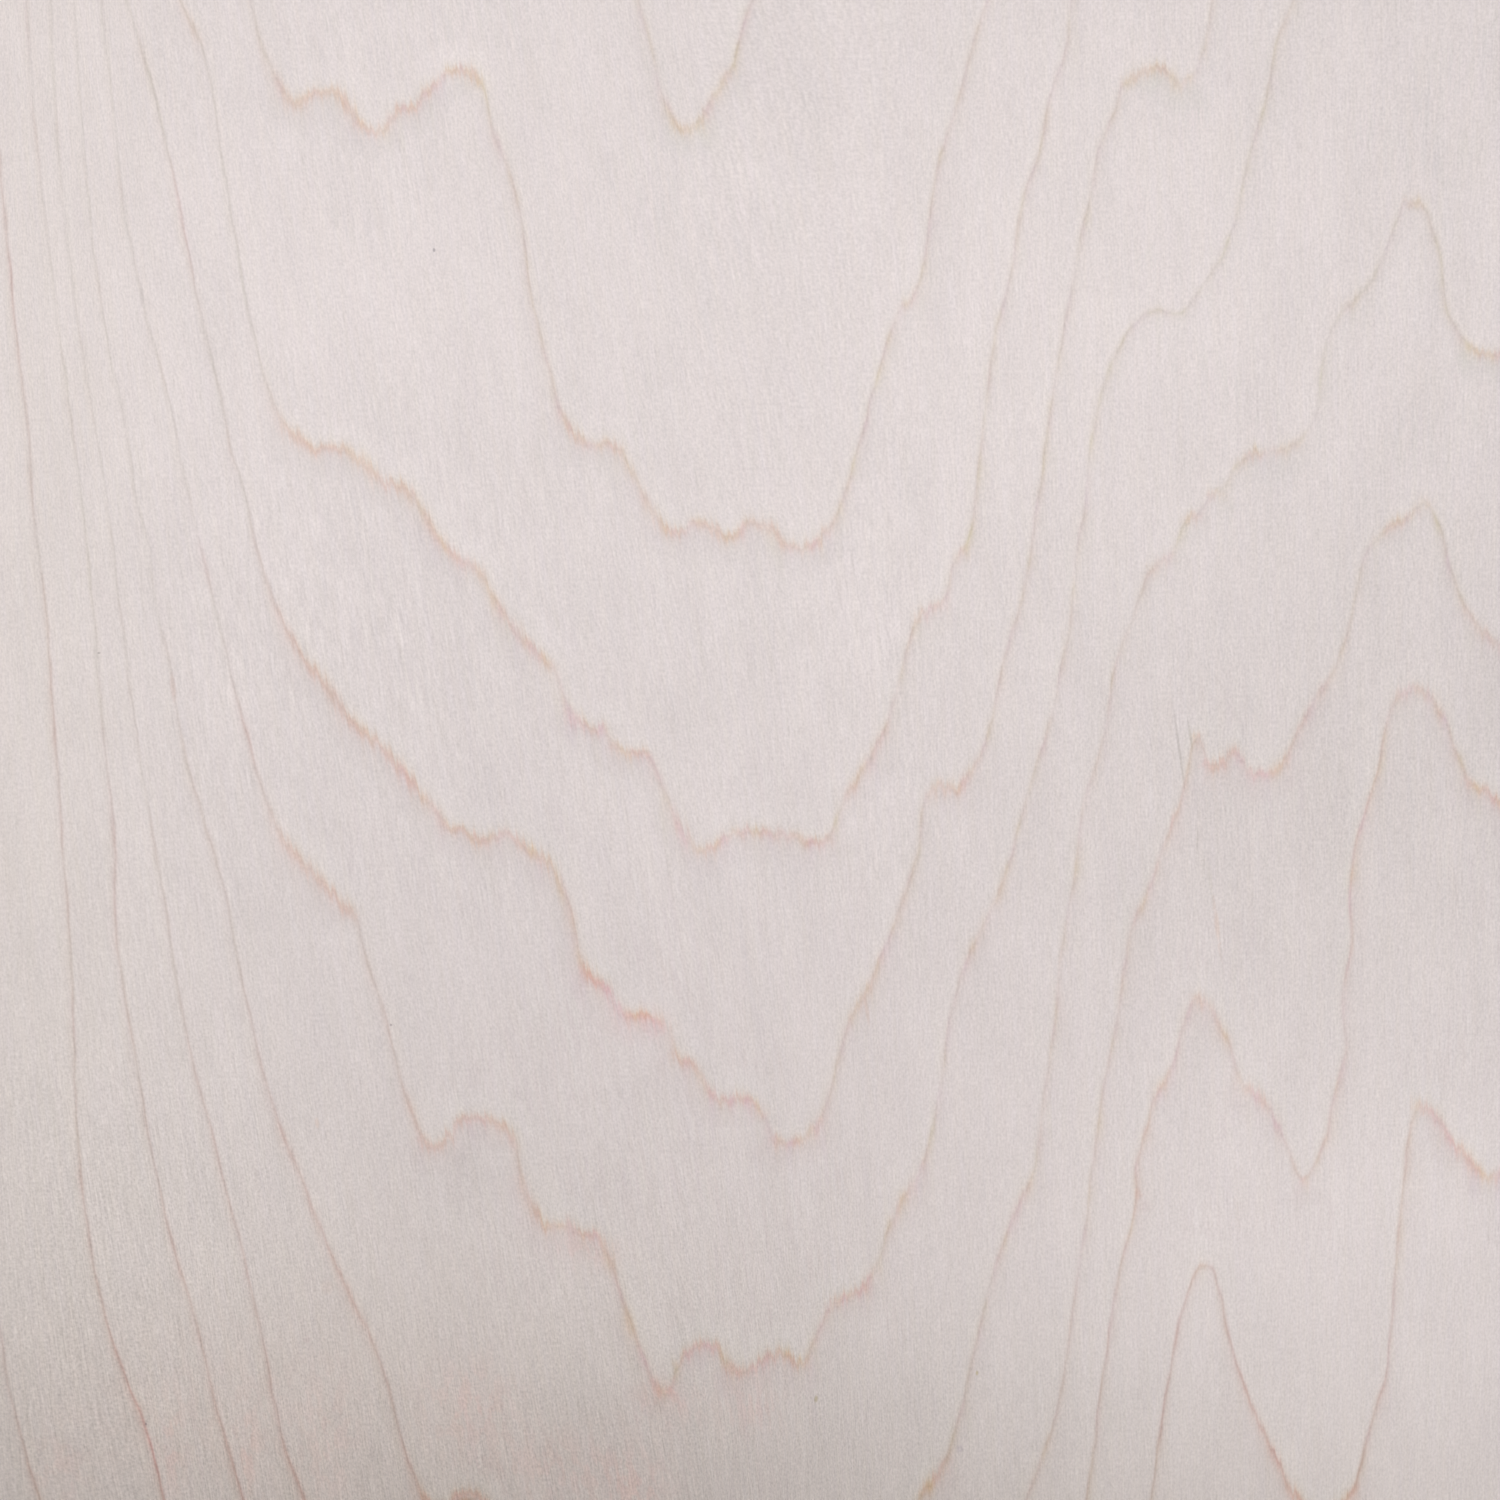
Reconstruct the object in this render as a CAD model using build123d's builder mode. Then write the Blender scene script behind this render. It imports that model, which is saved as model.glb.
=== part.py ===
from build123d import *
import os

# Plywood sheet, lying flat with its good face up. It is one piece of stock: the veneers
# are glued into a single solid, sawn square and lightly sanded along its edges.
# Millimetres. The origin is at the middle of the back face, +Z goes up through the
# thickness, and +Y runs along the grain of the face veneer.

# Panel, sawn to size
grain_length = 305.0     # along the face grain
cross_width = 305.0      # across the face grain

# Lay-up: a face and a back veneer over an odd number of cross-laid core veneers
face_veneer = 0.75
core_veneer = 1.5
core_veneer_count = 7

# Arrises broken with sandpaper
corner_bevel = 0.5       # upright corners
face_bevel = 0.3         # around the good face
back_bevel = 0.4         # around the back face

thickness = 2 * face_veneer + core_veneer_count * core_veneer

with BuildPart() as plywood_sheet:
    with BuildSketch() as sawn_outline:
        Rectangle(cross_width, grain_length)
        chamfer(sawn_outline.vertices(), corner_bevel)
    extrude(amount=thickness)
    back_arris = plywood_sheet.edges().group_by(Axis.Z)[0]
    chamfer(back_arris, back_bevel)
    face_arris = plywood_sheet.edges().group_by(Axis.Z)[-1]
    chamfer(face_arris, face_bevel)

plywood_sheet.part.label = "plywood_sheet"

os.makedirs("parts", exist_ok=True)
export_step(plywood_sheet.part, "parts/plywood_sheet.step")
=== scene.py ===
import math

import bpy
import numpy as np
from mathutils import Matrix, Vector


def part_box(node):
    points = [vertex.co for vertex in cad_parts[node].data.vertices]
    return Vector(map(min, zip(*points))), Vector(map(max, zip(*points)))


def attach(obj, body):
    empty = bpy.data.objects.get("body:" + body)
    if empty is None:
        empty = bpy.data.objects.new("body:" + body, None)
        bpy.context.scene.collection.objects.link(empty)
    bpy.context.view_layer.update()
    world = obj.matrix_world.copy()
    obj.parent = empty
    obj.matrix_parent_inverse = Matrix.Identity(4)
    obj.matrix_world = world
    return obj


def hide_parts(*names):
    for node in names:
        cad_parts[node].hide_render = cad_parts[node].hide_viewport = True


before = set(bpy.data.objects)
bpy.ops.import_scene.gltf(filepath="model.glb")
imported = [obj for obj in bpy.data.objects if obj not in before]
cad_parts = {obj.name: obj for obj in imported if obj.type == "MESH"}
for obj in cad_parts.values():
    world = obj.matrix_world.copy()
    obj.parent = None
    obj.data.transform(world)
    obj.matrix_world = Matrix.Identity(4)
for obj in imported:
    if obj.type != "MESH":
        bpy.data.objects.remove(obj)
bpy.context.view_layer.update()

# The looks of a plywood sheet that lies on the floor with its good face up. Metres, as in the
# frame: the photograph's top is +Y, its right is +X, and the face grain runs along Y.

MM = 0.001

# Sizes of the sheet, from the frame, and of its veneers and sanded arrises
LOW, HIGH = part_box("plywood_sheet")
HALF = (HIGH.x - LOW.x) / 2
THICK = HIGH.z - LOW.z
FACE_VENEER = 0.75 * MM
CORE_VENEERS = 7
CORE_VENEER = (THICK - 2 * FACE_VENEER) / CORE_VENEERS
CORNER_BEVEL = 0.5 * MM
FACE_BEVEL = 0.3 * MM
BACK_BEVEL = 0.4 * MM
GLUE_GROOVE = 0.03 * MM      # how far a glue line is sanded in
GLUE_SHOULDER = 0.06 * MM    # from the middle of a glue line to the flat of a veneer

# The mesh: the face is fine enough to carry the figure, and the rest is coarser
FACE_CELLS = 282
FINE_PER_COARSE = 4
COARSE_STEPS = (FACE_CELLS - 2) // FINE_PER_COARSE

# The photograph: a square of the face, seen straight from above, with its middle on the sheet's
PHOTO_PX = 1500
PX = 0.2 * MM                # one of its pixels on the face

# Growth-ring lines of the face veneer, in the photograph's pixels, from the innermost tongue out.
# Each runs from its left end to its right end, and wood above it is the wood inside it.
RING_LINES = [
    # the short tongue in the middle of the top
    [(632, -40), (642, 17), (650, 43), (663, 97), (670, 113), (678, 126), (690, 131), (700, 120), (720, 87),
     (730, 72), (743, 27), (752, 0), (764, -40)],
    # the second tongue, with a crest near the top left
    [(242, -40), (251, 0), (260, 37), (277, 80), (287, 97), (297, 107), (307, 98), (320, 92), (335, 91),
     (347, 103), (365, 128), (380, 131), (400, 108), (413, 107), (425, 93), (450, 72), (467, 69), (477, 77),
     (494, 133), (507, 167), (520, 213), (533, 307), (548, 363), (564, 418), (587, 443), (615, 445),
     (630, 467), (647, 500), (663, 525), (673, 532), (705, 522), (720, 534), (733, 537), (752, 522),
     (765, 524), (790, 547), (803, 548), (830, 527), (840, 507), (857, 453), (880, 368), (902, 310),
     (917, 290), (926, 247), (938, 165), (958, 103), (977, 30), (988, 0), (1000, -40)],
    # the third, flat across its bottom
    [(165, -40), (180, 0), (203, 50), (213, 97), (227, 187), (252, 327), (268, 390), (277, 413), (290, 432),
     (317, 450), (337, 445), (350, 452), (370, 468), (387, 483), (400, 485), (427, 520), (443, 543),
     (458, 557), (470, 563), (500, 608), (523, 637), (550, 663), (578, 720), (590, 728), (602, 727),
     (612, 743), (633, 753), (643, 752), (657, 773), (673, 813), (683, 830), (700, 848), (710, 847),
     (733, 833), (767, 832), (800, 838), (820, 845), (843, 802), (870, 757), (887, 723), (900, 680),
     (912, 633), (923, 612), (937, 608), (957, 558), (965, 548), (975, 500), (982, 437), (993, 350),
     (1012, 267), (1029, 180), (1040, 153), (1048, 107), (1068, 37), (1071, 0), (1078, -40)],
    # the fourth, stepped down both of its sides
    [(117, -40), (127, 0), (157, 103), (182, 217), (197, 297), (217, 380), (232, 450), (246, 497),
     (257, 547), (272, 597), (303, 657), (328, 687), (345, 713), (387, 752), (413, 783), (437, 813),
     (447, 828), (463, 830), (482, 842), (500, 833), (530, 848), (552, 868), (560, 883), (572, 920),
     (595, 980), (603, 984), (620, 1010), (632, 1017), (650, 1016), (663, 1023), (680, 1058), (690, 1065),
     (702, 1082), (727, 1100), (740, 1097), (765, 1117), (772, 1137), (780, 1142), (807, 1135), (818, 1123),
     (833, 1080), (847, 1027), (870, 983), (882, 957), (902, 903), (918, 853), (933, 790), (942, 783),
     (952, 790), (970, 773), (980, 757), (992, 717), (1007, 647), (1022, 600), (1038, 500), (1052, 400),
     (1062, 343), (1088, 207), (1100, 147), (1115, 110), (1123, 85), (1150, 68), (1163, 68), (1183, 84),
     (1192, 78), (1200, 60), (1213, 0), (1220, -40)],
    # the fifth, with crests low on its left side
    [(100, -40), (102, 0), (110, 77), (125, 213), (150, 330), (168, 397), (183, 470), (203, 557), (218, 620),
     (248, 737), (273, 817), (283, 837), (310, 870), (340, 900), (352, 912), (365, 953), (388, 1027),
     (413, 1113), (433, 1147), (443, 1143), (463, 1120), (480, 1118), (510, 1133), (523, 1182),
     (553, 1227), (563, 1222), (575, 1231), (600, 1238), (610, 1260), (628, 1317), (648, 1367),
     (657, 1387), (663, 1392), (670, 1388), (677, 1367), (687, 1353), (703, 1343), (718, 1348),
     (727, 1363), (735, 1372), (753, 1368), (767, 1357), (780, 1352), (800, 1365), (818, 1333),
     (835, 1302), (862, 1288), (873, 1273), (892, 1220), (922, 1167), (940, 1090), (950, 1020),
     (970, 953), (980, 933), (1000, 890), (1027, 797), (1057, 693), (1068, 633), (1075, 573),
     (1085, 500), (1098, 410), (1105, 383), (1128, 333), (1155, 310), (1182, 314), (1193, 300),
     (1227, 245), (1248, 160), (1268, 93), (1278, 40), (1293, 0), (1301, -40)],
    # the sixth, whose tip is below the photograph, with a peak at the right
    [(74, -40), (75, 0), (83, 133), (94, 250), (108, 343), (125, 423), (137, 500), (147, 537), (157, 615),
     (171, 667), (180, 733), (208, 833), (227, 903), (235, 950), (247, 1000), (260, 1063), (303, 1183),
     (337, 1267), (380, 1360), (390, 1393), (407, 1457), (428, 1500), (436, 1507), (446, 1507),
     (455, 1496), (468, 1493), (480, 1497), (500, 1530), (560, 1600), (860, 1600), (900, 1560),
     (921, 1497), (943, 1465), (958, 1420), (977, 1340), (998, 1260), (1013, 1217), (1033, 1173),
     (1043, 1100), (1057, 1010), (1060, 957), (1074, 883), (1085, 800), (1103, 740), (1118, 657),
     (1137, 607), (1150, 573), (1173, 552), (1187, 520), (1200, 513), (1207, 500), (1222, 490),
     (1233, 470), (1250, 455), (1283, 450), (1297, 442), (1317, 410), (1319, 383), (1333, 327),
     (1343, 310), (1358, 298), (1387, 247), (1397, 220), (1407, 202), (1418, 203), (1433, 233),
     (1455, 327), (1467, 345), (1483, 355), (1500, 354), (1540, 340)],
    # the seventh, with a toothed tip and a peak at the right
    [(50, -40), (51, 0), (60, 167), (80, 333), (107, 500), (122, 623), (143, 777), (163, 893), (180, 1000),
     (215, 1147), (240, 1243), (263, 1343), (283, 1440), (303, 1497), (345, 1600), (480, 1680), (900, 1680),
     (1000, 1600), (1028, 1497), (1052, 1430), (1072, 1317), (1089, 1197), (1105, 1083), (1120, 1000),
     (1124, 967), (1133, 923), (1148, 892), (1165, 843), (1182, 797), (1199, 738), (1213, 766),
     (1223, 762), (1232, 750), (1238, 755), (1253, 775), (1277, 767), (1285, 758), (1302, 723),
     (1338, 660), (1352, 617), (1363, 563), (1372, 543), (1383, 532), (1417, 508), (1424, 500),
     (1437, 520), (1450, 567), (1465, 607), (1487, 635), (1499, 647), (1540, 668)],
    # the eighth, with two peaks at the right
    [(26, -40), (27, 0), (33, 100), (48, 240), (70, 410), (82, 500), (90, 573), (102, 713), (114, 840),
     (117, 937), (126, 1000), (143, 1103), (170, 1233), (197, 1327), (218, 1413), (243, 1497), (280, 1620),
     (450, 1760), (950, 1760), (1050, 1650), (1087, 1497), (1102, 1383), (1120, 1270), (1136, 1190),
     (1135, 1177), (1147, 1127), (1153, 1103), (1172, 1067), (1187, 1017), (1199, 996), (1206, 1003),
     (1227, 1040), (1245, 1085), (1260, 1097), (1290, 1153), (1301, 1180), (1325, 1140), (1332, 1107),
     (1345, 1053), (1343, 1000), (1352, 930), (1350, 900), (1357, 840), (1378, 770), (1390, 713),
     (1398, 697), (1412, 687), (1427, 693), (1437, 707), (1460, 760), (1470, 782), (1483, 790),
     (1499, 803), (1540, 823)],
    # the ninth, with a peak low on the right
    [(-18, -40), (-4, 110), (5, 215), (15, 320), (27, 417), (33, 500), (48, 633), (52, 700), (61, 820),
     (73, 1000), (78, 1140), (93, 1260), (125, 1377), (145, 1427), (165, 1500), (195, 1640), (400, 1840),
     (1000, 1840), (1120, 1700), (1148, 1525), (1167, 1390), (1192, 1283), (1200, 1266), (1210, 1265),
     (1217, 1283), (1230, 1343), (1248, 1397), (1277, 1460), (1299, 1500), (1315, 1516), (1332, 1514),
     (1347, 1499), (1370, 1427), (1385, 1380), (1392, 1310), (1405, 1177), (1413, 1120), (1419, 1104),
     (1427, 1108), (1448, 1137), (1467, 1155), (1480, 1173), (1490, 1177), (1500, 1170), (1540, 1145)],
    # the last, in the bottom left corner
    [(-45, 900), (-16, 1180), (0, 1333), (12, 1400), (27, 1457), (40, 1500), (75, 1650), (400, 1900),
     (1700, 1900)],
]
LINE_STEP_PX = 8             # how finely a ring line is drawn between its points
ABOVE_PX = -400              # above everything in the photograph
REACH_MM = 12.0              # a line's shading reaches up to half this far from it


# Figure: where each point of the face lies between the ring lines

def smooth_line(points):
    """A smooth curve through the listed points, as short straight steps."""
    p = np.array(points, float)
    gap = np.diff(p, axis=0)
    span = np.hypot(gap[:, 0], gap[:, 1])[:, None]
    slope = gap / span
    inner = (slope[1:] * span[:-1] + slope[:-1] * span[1:]) / (span[1:] + span[:-1])
    tangent = np.vstack([slope[:1], inner, slope[-1:]])
    drawn = []
    for a, b, ta, tb, length in zip(p[:-1], p[1:], tangent[:-1], tangent[1:], span[:, 0]):
        t = np.linspace(0, 1, max(int(length / LINE_STEP_PX), 2), endpoint=False)[:, None]
        drawn.append(a * (1 + 2 * t) * (1 - t) ** 2 + b * t * t * (3 - 2 * t)
                     + length * (ta * t * (1 - t) ** 2 - tb * t * t * (1 - t)))
    return np.vstack(drawn + [p[-1:]])


def nearest(line, points):
    """Each point's distance to the line, and how far the way to it is up or down, from 0 to 1."""
    best = np.full(len(points), np.inf)
    upright = np.zeros(len(points))
    for a, b in zip(line[:-1], line[1:]):
        along = b - a
        t = np.clip((points - a) @ along / (along @ along), 0, 1)
        gap = points - (a + t[:, None] * along)
        distance = np.hypot(gap[:, 0], gap[:, 1])
        closer = distance < best
        best[closer] = distance[closer]
        upright[closer] = np.abs(gap[closer, 1]) / np.maximum(distance[closer], 1e-6)
    return best, upright


def is_inside(line, points):
    """Which points lie above the line, in the tongue that it encloses."""
    loop = np.vstack([line, (line[-1][0], ABOVE_PX), (line[0][0], ABOVE_PX)])
    inside = np.zeros(len(points), bool)
    for a, b in zip(loop, np.roll(loop, -1, axis=0)):
        if a[1] != b[1]:
            beside = (a[1] > points[:, 1]) != (b[1] > points[:, 1])
            crossing = a[0] + (points[:, 1] - a[1]) * (b[0] - a[0]) / (b[1] - a[1])
            inside ^= beside & (points[:, 0] < crossing)
    return inside


def figure(points):
    """Two values for each point, in the photograph's pixels.
    line: a line's number on that line, growing outwards by one for each REACH_MM from it, and
    n + 0.5 where it is beyond every line's reach.
    slant: 0 where the nearest line runs along the grain and 1 where it crosses it."""
    lines = [smooth_line(points_read) for points_read in RING_LINES]
    band = len(lines) - np.sum([is_inside(line, points) for line in lines], axis=0)
    reach = REACH_MM * MM / PX
    line_value, slant = np.zeros((2, len(points)))
    for n in range(len(lines) + 1):
        here = band == n
        if not here.any():
            continue
        inner, inner_slant = np.full(here.sum(), np.inf), 0
        outer, outer_slant = np.full(here.sum(), np.inf), 0
        if n > 0:
            inner, inner_slant = nearest(lines[n - 1], points[here])
        if n < len(lines):
            outer, outer_slant = nearest(lines[n], points[here])
        by_inner = inner < outer
        line_value[here] = np.where(by_inner, n - 1 + np.minimum(inner / reach, 0.5),
                                    n - np.minimum(outer / reach, 0.5))
        slant[here] = np.where(by_inner, inner_slant, outer_slant)
    return {"line": line_value, "slant": slant}


# Where the face is unlike the rest, as soft round patches in the photograph's pixels:
# middle, half-width, half-height and amount
PATCHES = {
    # how much lighter the face is, as a share: partly the wood's own uneven tone, partly painted shade that
    # darkens it along the bottom and the sides
    "tone_and_painted_shade": [
        (1420, 740, 330, 300, -0.085),
        # painted shade: the face darker along the bottom
        (620, 1480, 420, 130, -0.085),
        (1260, 1260, 300, 200, 0.080),
        (60, 1180, 260, 330, 0.060),
        (350, 250, 330, 300, 0.035),
        (1050, 330, 260, 260, 0.035),
        (520, 800, 250, 350, -0.020),
        (650, 1470, 300, 60, -0.020),
        (250, 1290, 280, 160, 0.028),
        (1480, 1480, 250, 180, 0.030),
        (1080, 850, 300, 250, -0.022),
        (1480, 60, 220, 220, -0.020),
        (465, 1172, 34, 30, -0.040),
        (420, 60, 60, 40, 0.020),
        (860, 600, 50, 130, 0.030),
        (300, 560, 60, 120, 0.010),
        # painted shade: the face darker along the bottom edge, the left edge and the right edge
        (560, 1505, 700, 24, -0.018),
        (14, 260, 26, 380, -0.012),
        (1492, 880, 22, 420, -0.012),
        (180, 690, 16, 45, -0.025),
        (90, 490, 25, 60, -0.018),
        (600, 320, 25, 70, -0.020),
        (835, 552, 45, 45, -0.020),
        (893, 240, 20, 80, -0.020),
        (515, 150, 16, 70, -0.020),
        (450, 98, 50, 18, -0.020),
        (1238, 685, 40, 60, 0.018),
        (505, 1215, 28, 45, 0.025),
    ],
    # how much redder, and how much yellower
    "redder": [
        (300, 1450, 420, 160, 0.020),
        (750, 1100, 500, 300, 0.006),
        (900, 1540, 700, 100, 0.008),
    ],
    "yellower": [
        (20, 700, 120, 900, 0.020),
        (350, 1450, 500, 220, 0.030),
        (750, 1570, 1500, 200, 0.022),
        (120, 1150, 220, 350, 0.014),
        (1350, 850, 250, 250, 0.008),
        (500, 1300, 500, 250, 0.011),
        (1150, 1500, 500, 150, 0.008),
        (458, 556, 20, 18, -0.020),
    ],
    # how plain its pale streaks are, from 0 to 1
    "streaked": [
        (350, 620, 150, 170, 1.0),
        (880, 620, 60, 150, 1.0),
        (895, 880, 40, 100, 0.7),
        (230, 720, 60, 220, 0.7),
        (120, 1150, 110, 350, 0.4),
    ],
    # how coarse its fibres look
    "coarse": [
        (130, 1270, 300, 280, 1.12),
        (550, 1480, 600, 120, 0.74),
        (720, 1280, 250, 150, 0.72),
    ],
    # how red-brown the thin lines are, where the rest are grey
    "rusty": [
        (180, 1400, 420, 480, 1.0),
        (182, 225, 26, 80, 0.9),
        (10, 420, 26, 480, 0.9),
        (300, 640, 42, 140, 1.0),
        (205, 562, 14, 22, 0.8),
        (248, 730, 16, 40, 0.8),
        (560, 330, 120, 300, 0.7),
        (1050, 700, 420, 900, 0.5),
        (1240, 1400, 260, 200, 0.6),
        (50, 690, 20, 90, 0.7),
        (64, 880, 20, 130, 0.4),
        (113, 860, 16, 110, 0.8),
    ],
    # how much stronger the lines are
    "stronger": [
        (250, 1500, 320, 60, 0.60),
        (920, 1500, 60, 50, 0.60),
        (1300, 1500, 120, 60, 0.50),
        (400, 700, 170, 600, 0.35),
        (60, 130, 55, 230, -0.35),
        (158, 100, 24, 120, 0.40),
        (175, 560, 60, 170, -0.32),
        (198, 520, 16, 90, -0.22),
        (110, 350, 25, 150, -0.20),
        (140, 740, 30, 130, -0.22),
        (50, 680, 20, 80, 0.25),
        (78, 1100, 22, 130, 0.30),
        (115, 1340, 35, 110, 0.30),
        (10, 280, 16, 90, 0.25),
        (240, 1290, 28, 90, -0.20),
        (1250, 750, 260, 300, -0.12),
        (1200, 150, 250, 250, 0.08),
        (1150, 1250, 300, 250, 0.08),
        (632, 1315, 30, 70, 0.50),
        (1230, 1410, 260, 130, 0.26),
        (1240, 758, 90, 40, 0.30),
        (952, 1430, 28, 60, 0.35),
        (1142, 1170, 25, 90, 0.25),
        (1320, 380, 200, 250, -0.15),
        (680, 1180, 260, 330, 0.10),
        (600, 1050, 120, 150, 0.08),
        (360, 100, 150, 110, 0.15),
        (742, 40, 18, 70, 0.35),
        (860, 430, 45, 110, 0.30),
        (885, 735, 30, 70, 0.20),
        (1045, 470, 14, 120, 0.30),
        (855, 1010, 60, 110, 0.20),
        (630, 1008, 40, 40, -0.20),
        (586, 1243, 45, 40, -0.20),
        (436, 1125, 40, 50, -0.15),
        (765, 1345, 80, 50, 0.25),
        (1080, 1050, 70, 260, -0.22),
        (1080, 550, 14, 120, -0.20),
        (1470, 340, 45, 40, 0.45),
        (1470, 775, 50, 45, 0.55),
        (1372, 790, 20, 80, 0.30),
        (1440, 1135, 50, 60, 0.35),
        (1320, 1455, 90, 50, 0.22),
        (588, 950, 22, 45, 0.35),
        (1354, 1475, 18, 30, 0.35),
        (1402, 1210, 20, 90, 0.18),
        (148, 1440, 22, 50, 0.20),
    ],
    # how much more fully a line has to cross the grain before it turns into a band
    "plainer": [
        (1280, 350, 330, 330, 0.9),
        (1206, 1266, 40, 40, 1.7),
        (1301, 1180, 35, 35, 1.2),
        (1165, 312, 50, 30, 1.3),
        (570, 1080, 130, 220, -0.8),
    ],
    # how much redder the lines along the grain are
    "ruddy": [
        (1290, 350, 230, 260, -0.9),
        (1290, 880, 260, 250, 0.9),
        (1168, 815, 30, 80, 1.0),
        (1300, 1300, 230, 250, 0.5),
        (1142, 1170, 25, 90, 0.6),
        (140, 1440, 40, 60, 1.5),
        (1174, 816, 20, 60, 0.6),
        (1365, 880, 60, 200, 0.6),
    ],
    # how much pinker the lines across the grain are
    "pinker": [
        (750, 0, 1500, 400, -0.70),
        (750, 1500, 1500, 550, 0.50),
        (1310, 350, 230, 260, -0.70),
        (680, 1180, 260, 330, 0.20),
        (360, 100, 150, 110, 0.50),
        (1215, 770, 110, 80, 0.40),
        (1290, 880, 260, 250, 0.35),
        (610, 990, 70, 60, 0.50),
    ],
    # where pinkish blotches lie
    "blotched": [
        (565, 1468, 80, 38, 0.8),
        (634, 1490, 32, 30, 1.0),
        (470, 1405, 40, 40, 1.0),
        (172, 1450, 10, 40, 0.9),
        (248, 1455, 12, 40, 0.9),
        (60, 1470, 25, 35, 0.6),
        (330, 1445, 22, 65, 0.5),
        (665, 1402, 30, 22, 1.0),
        (752, 1408, 32, 28, 0.8),
        (230, 1420, 160, 90, 0.3),
        (640, 1022, 26, 16, 0.9),
        (585, 1252, 34, 16, 0.9),
    ],
}
# Where lines have no shade outside them: the bundle at the left, and the bottom right
TIGHT = [
    (60, 200, 260, 800, 1.2),
    (160, 900, 240, 500, 1.2),
    (260, 1400, 240, 400, 1.2),
    (1240, 1400, 230, 170, 0.9),
]


def soft_patches(points, patches):
    """The sum of the patches at each point."""
    total = np.zeros(len(points))
    for x, y, half_width, half_height, amount in patches:
        far = ((points[:, 0] - x) / half_width) ** 2 + ((points[:, 1] - y) / half_height) ** 2
        total += amount * np.exp(-far)
    return total


# Small marks, in the photograph's pixels: middle, half-width, half-length, lean in degrees as a
# backslash leans, and the share of red, green and blue light that the mark takes. A negative
# half-width mirrors a mark, so that nothing shows where a cell of the mesh spans it and the next.
MARKS = [
    (434, 250, 1.9, 2.8, 10, (0.42, 0.42, 0.40)),       # dark specks
    (391, 1025, 1.8, 1.8, 0, (0.38, 0.40, 0.38)),
    (99, 653, 2.4, 1.5, 0, (0.30, 0.30, 0.30)),
    (146, 1424, 1.8, 1.8, 0, (0.40, 0.42, 0.38)),
    (348, 215, 1.8, 1.8, 0, (0.12, 0.12, 0.12)),
    (977, 1373, 1.8, 3.2, 0, (0.20, 0.24, 0.45)),
    (816, 1399, 2.6, 5.0, -8, (0.24, 0.27, 0.42)),
    (871, 759, 3.5, 6.0, 0, (0.12, 0.11, 0.13)),
    (142, 296, 3.0, 14.0, 8, (0.09, 0.09, 0.08)),
    (460, 1160, 11.0, 14.0, 0, (0.05, 0.05, 0.05)),     # bruises
    (478, 1183, 12.0, 9.0, 0, (0.03, 0.03, 0.03)),
    (960, 1449, 5.0, 6.0, 0, (0.10, 0.11, 0.07)),
    (1028, 845, 9.0, 6.0, 0, (0.05, 0.05, 0.04)),
    (1179, 748, 2.0, 50.0, 8, (0.180, 0.185, 0.200)),   # two splits beside a peak
    (1190, 734, -1.7, 23.0, 9, (0.17, 0.17, 0.19)),
    (1210, 880, 3.0, 26.0, 7, (0.03, 0.03, 0.05)),      # a gum streak
    (1217, 925, 3.6, 22.0, 6, (0.02, 0.09, 0.14)),
    (1222, 957, 2.0, 13.0, 6, (0.07, 0.08, 0.08)),
    (867, 1010, 2.8, 22.0, 8, (0.05, 0.11, 0.15)),
    (317, 1123, 3.0, 8.0, 8, (0.03, 0.09, 0.13)),
    (173, 688, 4.0, 20.0, 6, (0.03, 0.09, 0.11)),
    (327, 1287, 9.0, 10.0, 0, (0.00, 0.03, 0.05)),
    (307, 1340, 5.0, 5.0, 0, (0.02, 0.05, 0.04)),
    (1138, 1194, 4.5, 9.0, 0, (0.05, 0.12, 0.15)),
    (1146, 1206, 10.0, 9.0, 0, (0.03, 0.05, 0.05)),
    (466, 1504, 13.0, 9.0, 0, (0.12, 0.26, 0.40)),
]
MARK_RING = 1.0              # a mark's edge, in its own half-sizes
MARK_CORE = 0.3              # within this, a mark is at its darkest
MARK_REACH_PX = 16           # further than this outside its edge, a mark isn't looked for


def marks(points):
    """Where each point lies in the mark nearest to it, in that mark's half-sizes, whether it is
    near enough to be looked at, and what the mark takes."""
    best = np.full(len(points), np.inf)
    across, along, near = np.zeros((3, len(points)))
    taken = np.zeros((len(points), 3))
    for x, y, half_width, half_length, lean, colour in MARKS:
        c, s = math.cos(math.radians(lean)), math.sin(math.radians(lean))
        away = points - (x, y)
        u = (away[:, 0] * c - away[:, 1] * s) / half_width
        v = (away[:, 0] * s + away[:, 1] * c) / half_length
        outside = (np.hypot(u, v) - MARK_RING) * min(abs(half_width), half_length)
        closer = outside < best
        best[closer] = outside[closer]
        across[closer], along[closer] = u[closer], v[closer]
        taken[closer] = colour
    near[best < MARK_REACH_PX] = 1
    return {"mark_across": across, "mark_along": along, "mark_near": near, "mark_takes": taken}


# How far the fibres lean, as a backslash leans, across the photograph: (pixel, degrees)
LEAN = [(0, 4.5), (150, 8.5), (700, 9.5), (900, 3.5), (1250, 1.5), (1500, -1.0)]


def across_grain(points):
    """How far across the grain each point is, in millimetres, along its leaning fibres."""
    places, degrees = zip(*LEAN)
    lean = np.radians(np.interp(points[:, 0], places, degrees))
    middle = PHOTO_PX / 2
    return ((points[:, 0] - middle) - np.tan(lean) * (points[:, 1] - middle)) * PX / MM


# Mesh

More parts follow.
